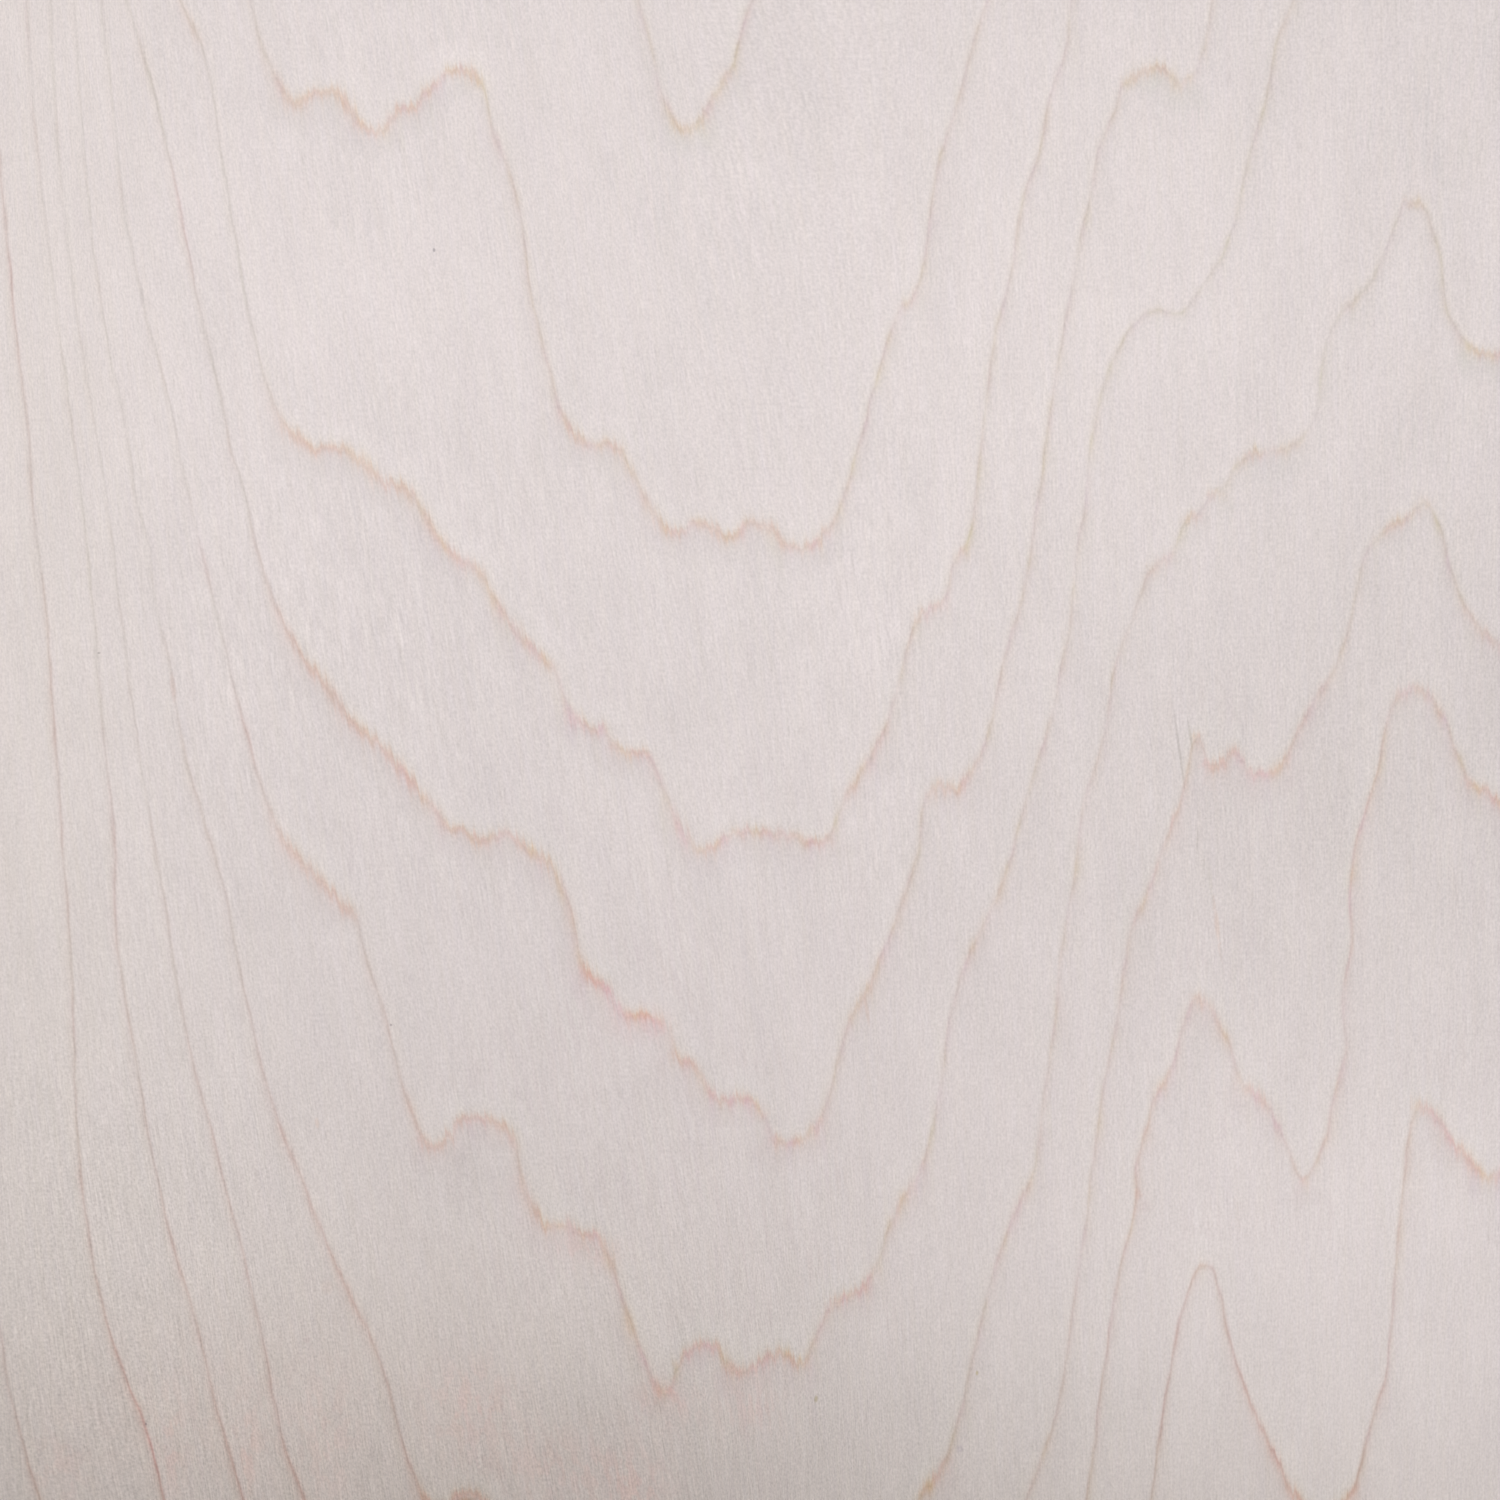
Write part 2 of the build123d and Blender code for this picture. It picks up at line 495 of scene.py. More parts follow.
class Solid:
    """Gathers the points and faces of the sheet. Each face belongs to a part, which is a material."""

    def __init__(self):
        self.points = []
        self.faces = []
        self.parts = []

    def add_points(self, xyz):
        first = len(self.points)
        self.points.extend(map(tuple, xyz))
        return np.arange(first, len(self.points))

    def add_face(self, corners, part):
        self.faces.append([int(c) for c in corners])
        self.parts.append(part)


def corner_cut(inset):
    """How much the corner bevel takes off a side of the outline, at that distance inside it."""
    return CORNER_BEVEL - inset * (2 - math.sqrt(2))


def outline(solid, inset, z):
    """The sheet's outline at one height, as four sides of points, anticlockwise from the +X side."""
    half = HALF - inset
    along = np.linspace(-(half - corner_cut(inset)), half - corner_cut(inset), COARSE_STEPS + 1)
    sides = []
    for quarter in range(4):
        c, s = round(math.cos(quarter * math.pi / 2)), round(math.sin(quarter * math.pi / 2))
        sides.append(solid.add_points([(c * half - s * a, s * half + c * a, z) for a in along]))
    return sides


def flat_grid(solid, inset, z, cells, part, upward):
    """A flat side of the sheet, with its corners cut off. Returns its rim, as outline() does."""
    half = HALF - inset
    inner = half - corner_cut(inset)
    lines = [-half, *np.linspace(-inner, inner, cells - 1), half]
    at = np.full((cells + 1, cells + 1), -1)
    for j, y in enumerate(lines):
        skip = 1 if j in (0, cells) else 0
        row = lines[skip:len(lines) - skip]
        at[j, skip:len(lines) - skip] = solid.add_points([(x, y, z) for x in row])
    for j in range(cells):
        for i in range(cells):
            corners = [at[j, i], at[j, i + 1], at[j + 1, i + 1], at[j + 1, i]]
            corners = [c for c in corners if c >= 0]
            solid.add_face(corners if upward else corners[::-1], part)
    return [at[1:-1, -1], at[-1, -2:0:-1], at[-2:0:-1, 0], at[0, 1:-1]]


def join(solid, lower, upper, parts):
    """Faces between two outlines with as many points. parts holds one part for each side."""
    for k in range(4):
        after = (k + 1) % 4
        for i in range(len(lower[k]) - 1):
            solid.add_face([lower[k][i], lower[k][i + 1], upper[k][i + 1], upper[k][i]], parts[k])
        solid.add_face([lower[k][-1], lower[after][0], upper[after][0], upper[k][-1]], parts[k])


def join_fine(solid, lower, upper, part):
    """Faces from a coarse outline up to one with FINE_PER_COARSE times as many steps."""
    for k in range(4):
        after = (k + 1) % 4
        for i in range(len(lower[k]) - 1):
            left, right = lower[k][i], lower[k][i + 1]
            fine = upper[k][FINE_PER_COARSE * i:FINE_PER_COARSE * (i + 1) + 1]
            half_way = FINE_PER_COARSE // 2
            solid.add_face([left, right, fine[half_way]], part)
            for n in range(FINE_PER_COARSE):
                solid.add_face([left if n < half_way else right, fine[n + 1], fine[n]], part)
        solid.add_face([lower[k][-1], lower[after][0], upper[after][0], upper[k][-1]], part)


def edge_levels():
    """(height, inset) down the sheet's edge: a shallow groove at each glue line."""
    levels = [(THICK - FACE_BEVEL, 0)]
    for n in range(CORE_VENEERS, -1, -1):
        glue = FACE_VENEER + n * CORE_VENEER
        levels += [(glue + GLUE_SHOULDER, 0), (glue, GLUE_GROOVE), (glue - GLUE_SHOULDER, 0)]
    return levels + [(BACK_BEVEL, 0)]


FACE, EDGE_ALONG, EDGE_ACROSS, BACK = range(4)


def build_solid():
    """The whole sheet as one closed mesh: face, bevels, grooved edges and back."""
    solid = Solid()
    rim = flat_grid(solid, FACE_BEVEL, THICK, FACE_CELLS, FACE, upward=True)
    levels = [outline(solid, inset, z) for z, inset in edge_levels()]
    join_fine(solid, levels[0], rim, FACE)
    for upper, lower in zip(levels[:-1], levels[1:]):
        join(solid, lower, upper, [EDGE_ALONG, EDGE_ACROSS] * 2)
    back_rim = flat_grid(solid, BACK_BEVEL, 0, COARSE_STEPS + 2, BACK, upward=False)
    join(solid, back_rim, levels[-1], [BACK] * 4)
    return solid


# Where the parts lie on the sheet's map, as shares of its side
MAP_GAP = 0.004
MAP_FACE = 0.84
MAP_REST = 1 - 3 * MAP_GAP - MAP_FACE


def map_places(solid):
    """The map's (u, v) for each corner of each face. The face gets most of the map, the four edges
    stand in a column beside it, and the back lies in the strip below, squeezed along the grain."""
    points = np.array(solid.points)
    share = (points + (HALF, HALF, 0)) / (2 * HALF, 2 * HALF, THICK)
    strip = (MAP_REST - 3 * MAP_GAP) / 4
    left, bottom = 2 * MAP_GAP + MAP_FACE, 2 * MAP_GAP + MAP_REST
    places = []
    for corners, part in zip(solid.faces, solid.parts):
        x, y, z = share[corners].T
        if part == FACE:
            u, v = MAP_GAP + x * MAP_FACE, bottom + y * MAP_FACE
        elif part == BACK:
            u, v = MAP_GAP + x * (1 - 2 * MAP_GAP), MAP_GAP + y * MAP_REST
        else:
            middle = points[corners].mean(axis=0)
            along = y if part == EDGE_ALONG else x
            column = (2 if part == EDGE_ACROSS else 0) + (middle[0 if part == EDGE_ALONG else 1] < 0)
            u, v = left + column * (strip + MAP_GAP) + z * strip, bottom + along * MAP_FACE
        places.extend(np.column_stack([u, v]))
    return np.array(places)


def build_sheet():
    """The dressed sheet, with its map and the values that its materials read."""
    solid = build_solid()
    mesh = bpy.data.meshes.new("plywood_sheet_dressed")
    mesh.from_pydata(solid.points, [], solid.faces)
    mesh.polygons.foreach_set("material_index", solid.parts)
    mesh.uv_layers.new(name="OFBake").data.foreach_set("uv", map_places(solid).ravel())

    points = np.array(solid.points)
    in_photo = np.column_stack([points[:, 0], -points[:, 1]]) / PX + PHOTO_PX / 2
    values = {name: soft_patches(in_photo, patches) for name, patches in PATCHES.items()}
    values["shaded"] = np.clip(1 - soft_patches(in_photo, TIGHT), 0, 1)
    values["across"] = across_grain(in_photo)
    values |= figure(in_photo)
    values |= marks(in_photo)
    for name, value in values.items():
        kind, slot = ("FLOAT_VECTOR", "vector") if value.ndim == 2 else ("FLOAT", "value")
        mesh.attributes.new(name, kind, "POINT").data.foreach_set(slot, value.astype(np.float32).ravel())
    sheet = bpy.data.objects.new("plywood_sheet_dressed", mesh)
    bpy.context.scene.collection.objects.link(sheet)
    return sheet


# Materials

LAYER_APART = 1000.0         # how far apart the layers of noise are taken from one pattern


class Graph:
    """The nodes of a material or world, with a short call for each kind that is needed."""

    def __init__(self, owner, shader="Principled BSDF"):
        """owner is a world, or the name of a new material."""
        self.owner = bpy.data.materials.new(owner) if isinstance(owner, str) else owner
        self.owner.use_nodes = True
        self.nodes = self.owner.node_tree.nodes
        self.links = self.owner.node_tree.links
        self.shader = self.nodes[shader]

    def put(self, socket, value):
        """Links a node's output to the socket, or sets the socket's own value."""
        if isinstance(value, bpy.types.NodeSocket):
            self.links.new(value, socket)
        else:
            socket.default_value = value

    def math(self, operation, *values):
        node = self.nodes.new("ShaderNodeMath")
        node.operation = operation
        for socket, value in zip(node.inputs, values):
            self.put(socket, value)
        return node.outputs[0]

    def add(self, *values):
        total = values[0]
        for value in values[1:]:
            total = self.math("ADD", total, value)
        return total

    def times(self, *values):
        total = values[0]
        for value in values[1:]:
            total = self.math("MULTIPLY", total, value)
        return total

    def vector(self, x, y, z):
        node = self.nodes.new("ShaderNodeCombineXYZ")
        for socket, value in zip(node.inputs, (x, y, z)):
            self.put(socket, value)
        return node.outputs[0]

    def grey(self, value):
        """One value for red, green and blue alike."""
        return self.vector(value, value, value)

    def changed(self, *changes):
        """1 for red, green and blue, changed by each value times its (red, green, blue)."""
        total = (1, 1, 1)
        for value, each in changes:
            total = self.vector_math("MULTIPLY_ADD", self.grey(value), each, total)
        return total

    def vector_math(self, operation, *values):
        node = self.nodes.new("ShaderNodeVectorMath")
        node.operation = operation
        for socket, value in zip(node.inputs, values):
            self.put(socket, value)
        return node.outputs[0]

    def attribute(self, name, output="Fac"):
        node = self.nodes.new("ShaderNodeAttribute")
        node.attribute_name = name
        return node.outputs[output]

    def place_mm(self):
        """The point's x, y and z in millimetres."""
        place = self.nodes.new("ShaderNodeTexCoord").outputs["Object"]
        apart = self.nodes.new("ShaderNodeSeparateXYZ")
        self.links.new(self.vector_math("MULTIPLY", place, (1 / MM, 1 / MM, 1 / MM)), apart.inputs[0])
        return apart.outputs

    def noise(self, x, y, width, length, layer, detail=2.0, roughness=0.5, gain=1.0):
        """Noise about 0, in marks about width mm across and length mm along. Each layer differs."""
        node = self.nodes.new("ShaderNodeTexNoise")
        node.noise_dimensions = "2D"
        node.inputs["Scale"].default_value = 1.0
        node.inputs["Detail"].default_value = detail
        node.inputs["Roughness"].default_value = roughness
        moved = self.math("MULTIPLY_ADD", x, 1 / width, LAYER_APART * layer)
        self.links.new(self.vector(moved, self.times(y, 1 / length), 0.0), node.inputs["Vector"])
        return self.math("MULTIPLY_ADD", node.outputs["Fac"], gain, -gain / 2)

    def step(self, value, start, end):
        """Rises smoothly from 0 at start to 1 at end."""
        node = self.nodes.new("ShaderNodeMapRange")
        node.interpolation_type = "SMOOTHSTEP"
        for name, number in (("Value", value), ("From Min", start), ("From Max", end)):
            self.put(node.inputs[name], number)
        return node.outputs[0]

    def ramp(self, value, stops):
        """Colours along a value. stops are (value, colour), from low to high."""
        low, high = stops[0][0], stops[-1][0]
        node = self.nodes.new("ShaderNodeValToRGB")
        ramp = node.color_ramp
        ramp.elements.remove(ramp.elements[1])
        for n, (place, colour) in enumerate(stops):
            share = (place - low) / (high - low)
            element = ramp.elements.new(share) if n else ramp.elements[0]
            element.position = share
            element.color = (*colour, 1)
        self.links.new(self.math("DIVIDE", self.math("SUBTRACT", value, low), high - low), node.inputs[0])
        return node.outputs[0]

    def mix(self, share, a, b):
        """Colour a where share is 0, and colour b where it is 1."""
        node = self.nodes.new("ShaderNodeMix")
        node.data_type = "RGBA"
        self.put(node.inputs[0], share)
        for socket, value in ((node.inputs[6], a), (node.inputs[7], b)):
            self.put(socket, (*value, 1) if isinstance(value, tuple) else value)
        return node.outputs[2]

    def seen(self):
        """1 where the camera looks, straight or by way of a gloss or glass, and 0 for all other light."""
        node = self.nodes.new("ShaderNodeLightPath")
        straight = self.math("MAXIMUM", node.outputs["Is Camera Ray"], node.outputs["Is Glossy Ray"])
        return self.math("MAXIMUM", straight, node.outputs["Is Transmission Ray"])

    def length(self, vector):
        node = self.nodes.new("ShaderNodeVectorMath")
        node.operation = "LENGTH"
        self.links.new(vector, node.inputs[0])
        return node.outputs["Value"]

    def bump(self, height, depth):
        """Relief, where a height of 1 is depth metres."""
        node = self.nodes.new("ShaderNodeBump")
        node.inputs["Distance"].default_value = depth
        self.links.new(height, node.inputs["Height"])
        self.links.new(node.outputs[0], self.shader.inputs["Normal"])


# Maple, in linear light
MAPLE = (0.772, 0.693, 0.681)

# What a ring line leaves of the wood's light at each millimetre from it, inside (-) to outside (+).
# A line along the grain is thin, and grey or red-brown. The further it is from the tight bundle at
# the left, the more shade it has outside it.
GREY_LINE = [
    (-6.0, (1.000, 1.000, 1.000)),
    (-0.5, (1.000, 1.000, 0.995)),
    (0.0, (0.880, 0.880, 0.855)),
    (0.5, (0.990, 0.990, 0.975)),
    (1.2, (1.000, 1.000, 0.995)),
    (3.0, (1.000, 1.000, 1.000)),
]
RUSTY_LINE = [
    (-6.0, (1.000, 1.000, 1.000)),
    (-2.2, (1.000, 1.000, 1.000)),
    (-0.9, (1.014, 1.012, 1.014)),
    (-0.45, (1.005, 0.984, 0.984)),
    (0.0, (0.845, 0.762, 0.742)),
    (0.45, (0.972, 0.936, 0.921)),
    (1.0, (0.990, 0.980, 0.970)),
    (2.2, (0.992, 0.996, 0.992)),
    (4.0, (1.000, 1.000, 1.000)),
]
SHADED_LINE = [
    (-6.0, (1.000, 1.000, 1.000)),
    (-2.0, (1.003, 1.006, 1.003)),
    (-1.1, (1.008, 1.012, 1.000)),
    (-0.5, (0.988, 0.980, 0.955)),
    (0.0, (0.890, 0.850, 0.810)),
    (0.5, (0.955, 0.930, 0.905)),
    (1.0, (0.970, 0.960, 0.946)),
    (1.8, (0.981, 0.979, 0.974)),
    (3.0, (0.990, 0.990, 0.989)),
    (5.0, (1.000, 1.000, 1.000)),
]
# A line across the grain is a broad toothed band: cream inside, orange-brown, then a greyish shade
CROSSING_LINE = [
    (-6.0, (1.005, 1.005, 1.005)),
    (-3.0, (1.012, 1.016, 1.014)),
    (-1.6, (1.003, 1.004, 0.985)),
    (-0.8, (0.988, 0.956, 0.910)),
    (-0.3, (0.958, 0.872, 0.808)),
    (0.1, (0.938, 0.832, 0.775)),
    (0.6, (0.946, 0.857, 0.815)),
    (1.2, (0.957, 0.910, 0.890)),
    (2.0, (0.957, 0.940, 0.930)),
    (3.2, (0.960, 0.955, 0.953)),
    (6.0, (0.985, 0.985, 0.985)),
]


# The slants between which a line turns into a band, and how far "plainer" lowers a line's slant
BAND_SLANTS = (0.18, 0.75)
PLAINER_SLANT = -0.35

# How much more red, green and blue light a line takes where it is pinker or ruddy, and how its hue
# wanders
PINKER_LINE = (-0.40, 0.15, 0.00)
RUDDY_LINE = (-0.12, 0.20, 0.15)
HUE_WANDER = (0.00, 0.40, -0.90)


def ring_lines(g, across, y):
    """What the ring lines leave of the wood's light. Fibres tooth the lines that cross them."""
    slant = g.add(g.attribute("slant"), g.times(g.attribute("plainer"), PLAINER_SLANT))
    crossing = g.step(slant, *BAND_SLANTS)
    teeth = g.add(g.noise(across, y, 1.1, 14.0, layer=1, gain=2.7),
                  g.noise(across, y, 0.4, 6.0, layer=2, detail=1.0, gain=1.5))
    wander = g.noise(across, y, 2.0, 9.0, layer=3, gain=0.9)
    moved = g.add(g.times(teeth, crossing), wander)
    line = g.add(g.attribute("line"), g.times(moved, 1 / REACH_MM))
    distance = g.times(g.math("SUBTRACT", line, g.math("ROUND", line)), REACH_MM)

    rusty = g.add(g.attribute("rusty"), g.noise(across, y, 3.0, 12.0, layer=16, detail=1.0, gain=0.9))
    tight = g.mix(rusty, g.ramp(distance, GREY_LINE), g.ramp(distance, RUSTY_LINE))
    shaded = g.attribute("shaded")
    along = g.mix(shaded, tight, g.ramp(distance, SHADED_LINE))
    lines = g.mix(crossing, along, g.ramp(distance, CROSSING_LINE))
    uneven = g.times(g.noise(across, y, 4.0, 10.0, layer=4, detail=1.0), g.add(1.1, g.times(shaded, 0.8)))
    strength = g.add(1.0, g.attribute("stronger"), uneven)
    pinker = g.times(g.attribute("pinker"), crossing)
    ruddy = g.times(g.attribute("ruddy"), g.math("SUBTRACT", 1.0, crossing))
    hue = g.times(g.noise(across, y, 3.0, 9.0, layer=5, detail=1.0), shaded)
    colours = g.changed((pinker, PINKER_LINE), (ruddy, RUDDY_LINE), (hue, HUE_WANDER))
    taken = g.vector_math("MULTIPLY", g.vector_math("SUBTRACT", lines, (1, 1, 1)), g.grey(strength))
    return g.vector_math("MULTIPLY_ADD", taken, colours, (1, 1, 1))


def fibres(g, across, y, streaked=0.0, coarse=0.0):
    """How light the wood's fibres are, about 1. Fine grain, dashes, threads, long streaks and clouds
    are everywhere, strokes lie where the wood is coarse, and hatching mostly where it is streaked."""
    grain = g.noise(across, y, 0.50, 0.65, layer=6, detail=1.0, gain=0.25)
    dashes = g.noise(across, y, 0.38, 2.6, layer=7, gain=0.17)
    threads = g.noise(across, y, 0.45, 6.0, layer=19, detail=1.0, gain=0.075)
    strokes = g.add(g.noise(across, y, 0.26, 2.4, layer=17, detail=1.0, gain=0.17),
                    g.noise(across, y, 0.22, 8.0, layer=18, detail=0.0, gain=0.185),
                    g.noise(across, y, 0.42, 0.55, layer=20, detail=1.0, gain=0.30))
    patchy = g.add(0.16, g.noise(across, y, 4.0, 9.0, layer=15, detail=1.0, gain=0.35))
    hatch = g.times(g.noise(across, y, 0.9, 7.0, layer=8, detail=2.0, roughness=0.6),
                    g.add(0.06, g.times(streaked, patchy)))
    streaks = g.noise(across, y, 2.5, 40.0, layer=9, gain=0.06)
    clouds = g.noise(across, y, 10.0, 25.0, layer=10, gain=0.09)
    return g.add(1.0, grain, dashes, threads, g.times(strokes, coarse), hatch, streaks, clouds)


# How red and yellow wood differ from the rest, in red, green and blue
REDDER = (0.5, -0.5, -0.5)
YELLOWER = (0.0, 0.0, -1.0)


def tint(g, light, red, yellow):
    """Light times a tint."""
    return g.vector_math("MULTIPLY", g.grey(light), g.changed((red, REDDER), (yellow, YELLOWER)))


def mark_shade(g):
    """What the small marks leave of the wood's light."""
    place = g.vector(g.attribute("mark_across"), g.attribute("mark_along"), 0.0)
    gap = g.length(place)
    depth = g.times(g.step(gap, MARK_RING, MARK_CORE), g.step(g.attribute("mark_near"), 0.9, 1.0))
    taken = g.vector_math("MULTIPLY", g.attribute("mark_takes", "Vector"), g.grey(depth))
    return g.vector_math("SUBTRACT", (1, 1, 1), taken)


BLOTCH_REDDER = 0.10         # how much redder and yellower a pinkish blotch is
BLOTCH_YELLOWER = 0.01
FACE_ROUGHNESS = 0.58
PORE_DEPTH = 0.01 * MM


def face_material():
    """Sanded maple veneer with its ring lines."""
    g = Graph("maple_face")
    _, y, _ = g.place_mm()
    across = g.attribute("across")
    fibre = fibres(g, across, y, g.attribute("streaked"), g.attribute("coarse"))
    # the face's patches of tone include painted shade, darker along the bottom and the sides
    light = g.add(fibre, g.attribute("tone_and_painted_shade"))
    patchy = g.add(0.3, g.times(g.step(g.noise(across, y, 2.2, 5.0, layer=11), -0.06, 0.08), 0.7))
    blotch = g.times(patchy, g.attribute("blotched"))
    red = g.add(g.attribute("redder"), g.times(blotch, BLOTCH_REDDER),
                g.noise(across, y, 1.5, 20.0, layer=12, gain=0.02))
    yellow = g.add(g.attribute("yellower"), g.times(blotch, BLOTCH_YELLOWER),
                   g.noise(across, y, 1.2, 16.0, layer=13, gain=0.05))
    wood = g.vector_math("MULTIPLY", MAPLE, tint(g, light, red, yellow))
    wood = g.vector_math("MULTIPLY", wood, ring_lines(g, across, y))
    wood = g.vector_math("MULTIPLY", wood, mark_shade(g))
    g.put(g.shader.inputs["Base Color"], wood)

    pores = g.noise(across, y, 0.25, 2.5, layer=14, detail=1.0)
    g.put(g.shader.inputs["Roughness"], g.add(FACE_ROUGHNESS, g.times(pores, 0.2)))
    g.put(g.shader.inputs["IOR"], 1.45)
    g.bump(pores, PORE_DEPTH)
    return g.owner


BACK_RINGS_APART = 17.0      # millimetres
BACK_LIGHTER = -0.04


def back_material():
    """Plainer maple for the back, with ring lines that wind along its grain."""
    g = Graph("maple_back")
    x, y, _ = g.place_mm()
    bend = g.add(g.noise(x, y, 75.0, 280.0, layer=17, detail=1.0, gain=4.0),
                 g.noise(x, y, 2.0, 9.0, layer=3, gain=0.06))
    ring = g.add(g.times(x, 1 / BACK_RINGS_APART), bend)
    distance = g.times(g.math("SUBTRACT", ring, g.math("ROUND", ring)), BACK_RINGS_APART)
    light = g.add(fibres(g, x, y), BACK_LIGHTER)
    yellow = g.noise(x, y, 30.0, 90.0, layer=13, gain=0.06)
    wood = g.vector_math("MULTIPLY", MAPLE, tint(g, light, 0.0, yellow))
    wood = g.vector_math("MULTIPLY", wood, g.ramp(distance, SHADED_LINE))
    g.put(g.shader.inputs["Base Color"], wood)
    g.put(g.shader.inputs["Roughness"], 0.62)
    return g.owner


LONG_GRAIN = (0.830, 0.705, 0.565)
END_GRAIN = (0.640, 0.480, 0.345)
GLUE = (0.150, 0.085, 0.050)
GLUE_FADE = (0.015, 0.06)    # where a glue line's colour starts and ends to fade, in veneers
GLUE_COVERS = 0.75           # how much of the wood's colour it covers
SAWN_DEPTH = 0.05 * MM       # the relief of a sawn edge


def edge_material(name, along_axis):
    """A sawn edge: veneers with long grain and end grain by turns, and the glue between them."""
    g = Graph(name)
    place = g.place_mm()
    along, z = place[along_axis], place[2]
    waver = g.noise(along, z, 6.0, 3.0, layer=1, gain=0.08)
    level = g.math("DIVIDE", g.math("SUBTRACT", g.add(z, waver), FACE_VENEER / MM), CORE_VENEER / MM)
    veneer = g.math("FLOOR", level)
    odd = g.math("MODULO", g.add(veneer, 2.0), 2.0)
    long_grain = odd if along_axis == 1 else g.math("SUBTRACT", 1.0, odd)

    own_tone = g.noise(veneer, 0.5, 0.27, 1.0, layer=4, detail=0.0, gain=0.35)
    cloudy = g.noise(along, veneer, 25.0, 0.27, layer=5, gain=0.16)
    streaks = g.add(1.0, own_tone, cloudy, g.noise(along, z, 9.0, 0.12, layer=2, detail=3.0, gain=0.35))
    vessels = g.noise(along, z, 0.15, 0.15, layer=3, detail=2.0, gain=0.6)
    checks = g.step(g.noise(g.add(along, g.times(z, 0.6)), z, 0.3, 1.6, layer=6, detail=1.0), 0.17, 0.24)
    pitted = g.add(1.0, own_tone, cloudy, vessels, g.times(checks, -0.35))
    long_colour = g.vector_math("MULTIPLY", LONG_GRAIN, g.grey(streaks))
    end_colour = g.vector_math("MULTIPLY", END_GRAIN, g.grey(pitted))
    wood = g.mix(long_grain, end_colour, long_colour)
    off_glue = g.math("ABSOLUTE", g.math("SUBTRACT", level, g.math("ROUND", level)))
    glue = g.math("SUBTRACT", 1.0, g.step(off_glue, *GLUE_FADE))
    g.put(g.shader.inputs["Base Color"], g.mix(g.times(glue, GLUE_COVERS), wood, GLUE))
    g.put(g.shader.inputs["Roughness"], 0.7)
    g.bump(vessels, SAWN_DEPTH)
    return g.owner


# Scene

FLOOR_SIDE = 8.0
FLOOR_COLOUR = (0.80, 0.79, 0.78, 1)
LIT_LEVEL = 0.97             # how light a white floor is where the lamp and the sky both light it
LIT_LENGTH = 0.42            # the lamp's pool on the floor: the length of its middle line
LIT_FADE = (0.06, 0.47)      # and how far from that line its light starts and ends to fade
CAMERA_LENS = 100.0          # millimetres, as is the sensor's width
CAMERA_SENSOR = 36.0
CAMERA_HEIGHT = CAMERA_LENS / CAMERA_SENSOR * PHOTO_PX * PX    # above the face
LAMP_PLACE = (0.044, 0.087, 1.053)
LAMP_TURN = math.radians(-13.5)
LAMP_SIDES = (0.945, 0.525)
LAMP_SPREAD = math.radians(26.8)
LAMP_POWER = 0.912           # watts
SKY = 0.331                  # the sky's strength for all light but what the camera sees


def out_of_pool(g):
    """0 on the floor that the lamp lights, rising to 1 where only the sky does."""
    x, y, _ = g.place_mm()
    east = g.add(x, -LAMP_PLACE[0] / MM)
    north = g.add(y, -LAMP_PLACE[1] / MM)
    c, s = math.cos(LAMP_TURN), math.sin(LAMP_TURN)
    along = g.add(g.times(east, c), g.times(north, s))
    across = g.add(g.times(north, c), g.times(east, -s))
    past_end = g.math("MAXIMUM", g.add(g.math("ABSOLUTE", along), -LIT_LENGTH / 2 / MM), 0.0)
    return g.step(g.length(g.vector(past_end, across, 0.0)), LIT_FADE[0] / MM, LIT_FADE[1] / MM)


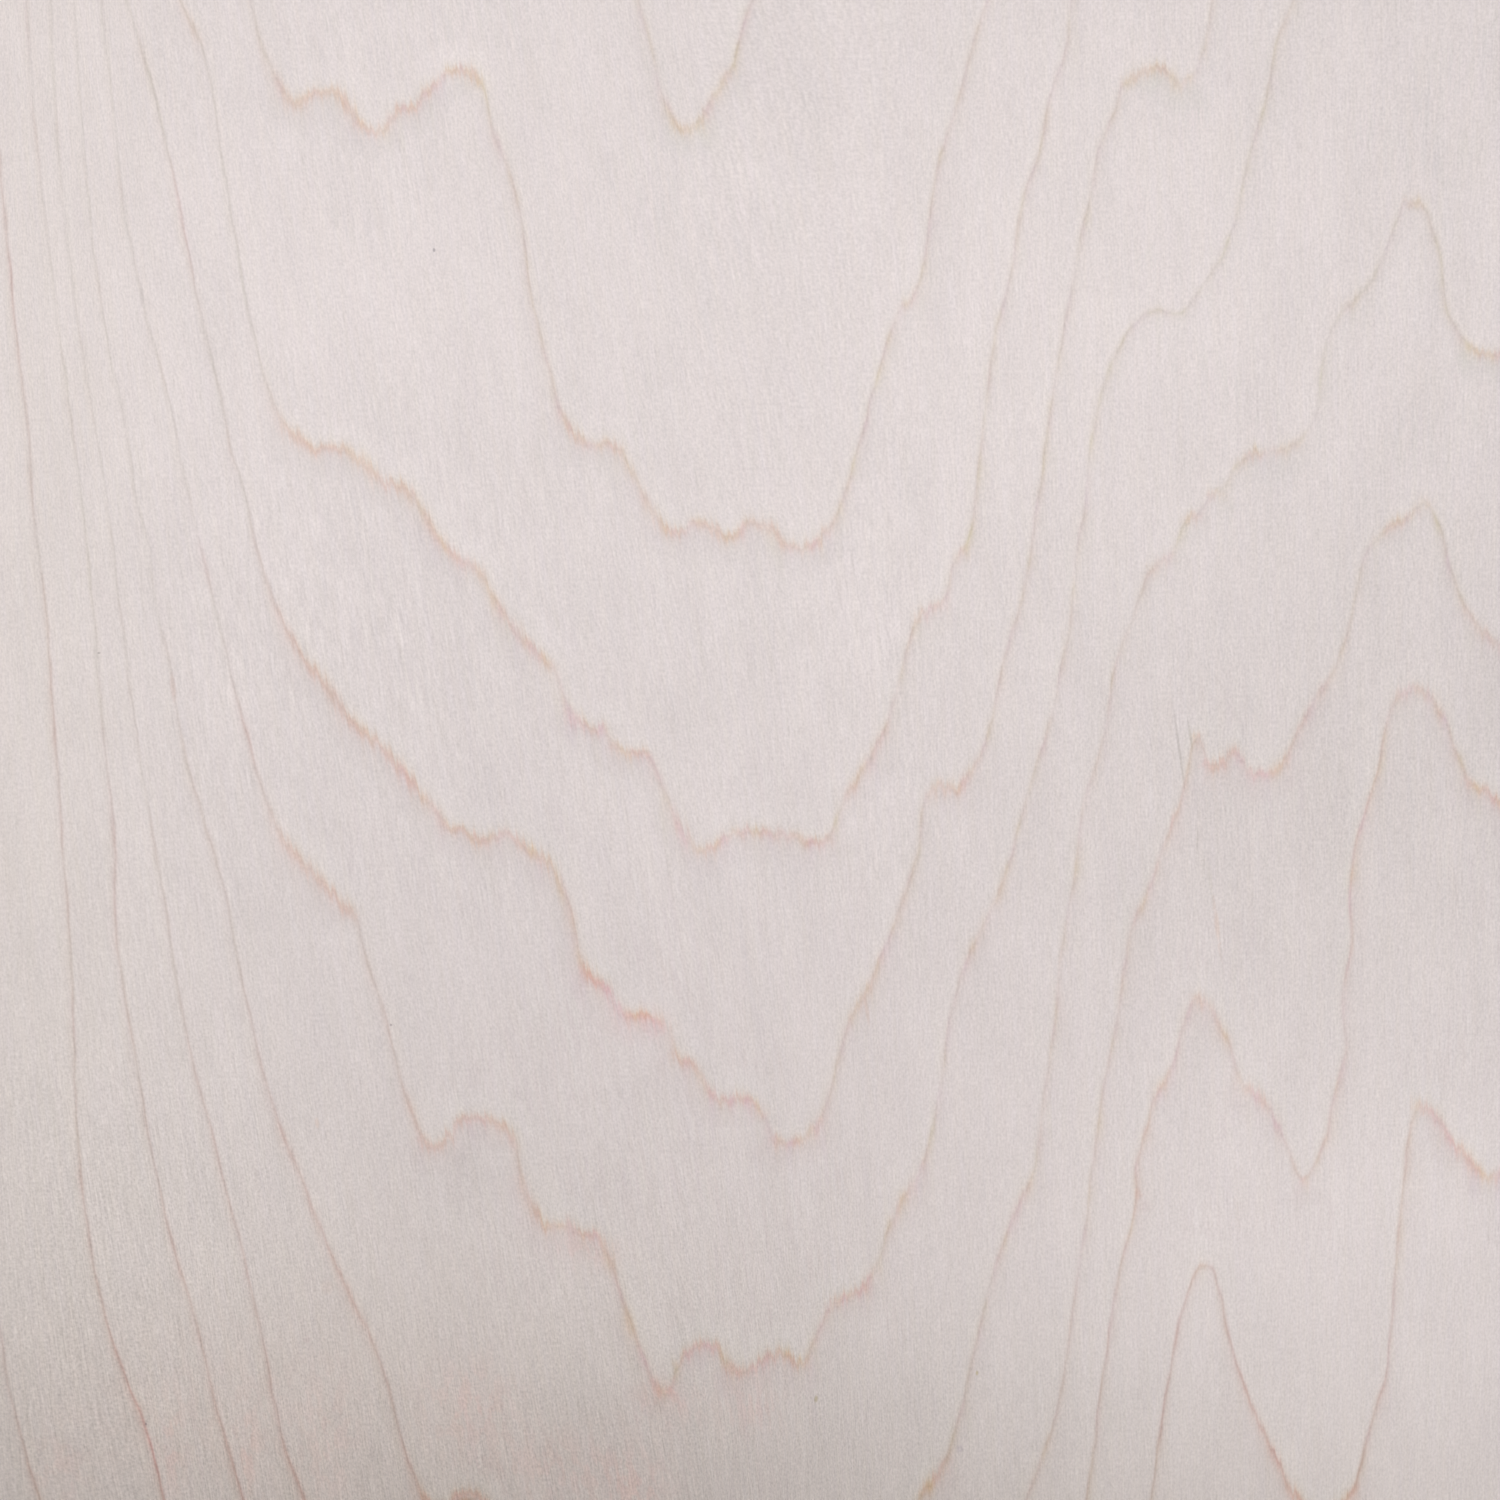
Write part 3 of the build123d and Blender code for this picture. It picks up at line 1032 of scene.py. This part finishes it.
def build_floor():
    """A plain pale floor under the sheet. The camera sees it as light outside the lamp's pool as in it."""
    side = FLOOR_SIDE / 2
    mesh = bpy.data.meshes.new("floor")
    corners = [(-side, -side, 0), (side, -side, 0), (side, side, 0), (-side, side, 0)]
    mesh.from_pydata(corners, [], [(0, 1, 2, 3)])
    floor = bpy.data.objects.new("floor", mesh)
    bpy.context.scene.collection.objects.link(floor)
    g = Graph("floor")
    g.put(g.shader.inputs["Base Color"], FLOOR_COLOUR)
    g.put(g.shader.inputs["Roughness"], 0.9)
    g.put(g.shader.inputs["Specular IOR Level"], 0.0)
    g.put(g.shader.inputs["Emission Color"], FLOOR_COLOUR)
    g.put(g.shader.inputs["Emission Strength"], g.times(out_of_pool(g), g.seen(), LIT_LEVEL - SKY))
    mesh.materials.append(g.owner)


def build_lights():
    """One large soft lamp that shines straight down on the sheet, and an even pale sky for the rest.
    The camera sees the sky as light as the lit floor."""
    lamp = bpy.data.lights.new("softbox", "AREA")
    lamp.shape = "RECTANGLE"
    lamp.size, lamp.size_y = LAMP_SIDES
    lamp.spread = LAMP_SPREAD
    lamp.energy = LAMP_POWER
    holder = bpy.data.objects.new("softbox", lamp)
    holder.location = LAMP_PLACE
    holder.rotation_euler = (0, 0, LAMP_TURN)
    bpy.context.scene.collection.objects.link(holder)

    world = bpy.data.worlds.new("studio")
    g = Graph(world, "Background")
    g.put(g.shader.inputs["Color"], (1, 1, 1, 1))
    g.put(g.shader.inputs["Strength"], g.add(SKY, g.times(g.seen(), LIT_LEVEL * FLOOR_COLOUR[1] - SKY)))
    bpy.context.scene.world = world


def build_camera():
    """Straight above the sheet, with the photograph's frame."""
    data = bpy.data.cameras.new("camera")
    data.lens = CAMERA_LENS
    data.sensor_width = CAMERA_SENSOR
    camera = bpy.data.objects.new("camera", data)
    camera.location = (0, 0, THICK + CAMERA_HEIGHT)
    bpy.context.scene.collection.objects.link(camera)
    bpy.context.scene.camera = camera


build_camera()
build_lights()
build_floor()
sheet = build_sheet()
for material in (face_material(), edge_material("veneers_along", 1), edge_material("veneers_across", 0),
                 back_material()):
    sheet.data.materials.append(material)
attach(sheet, "root")
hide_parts("plywood_sheet")
bpy.context.scene.view_settings.view_transform = "Standard"
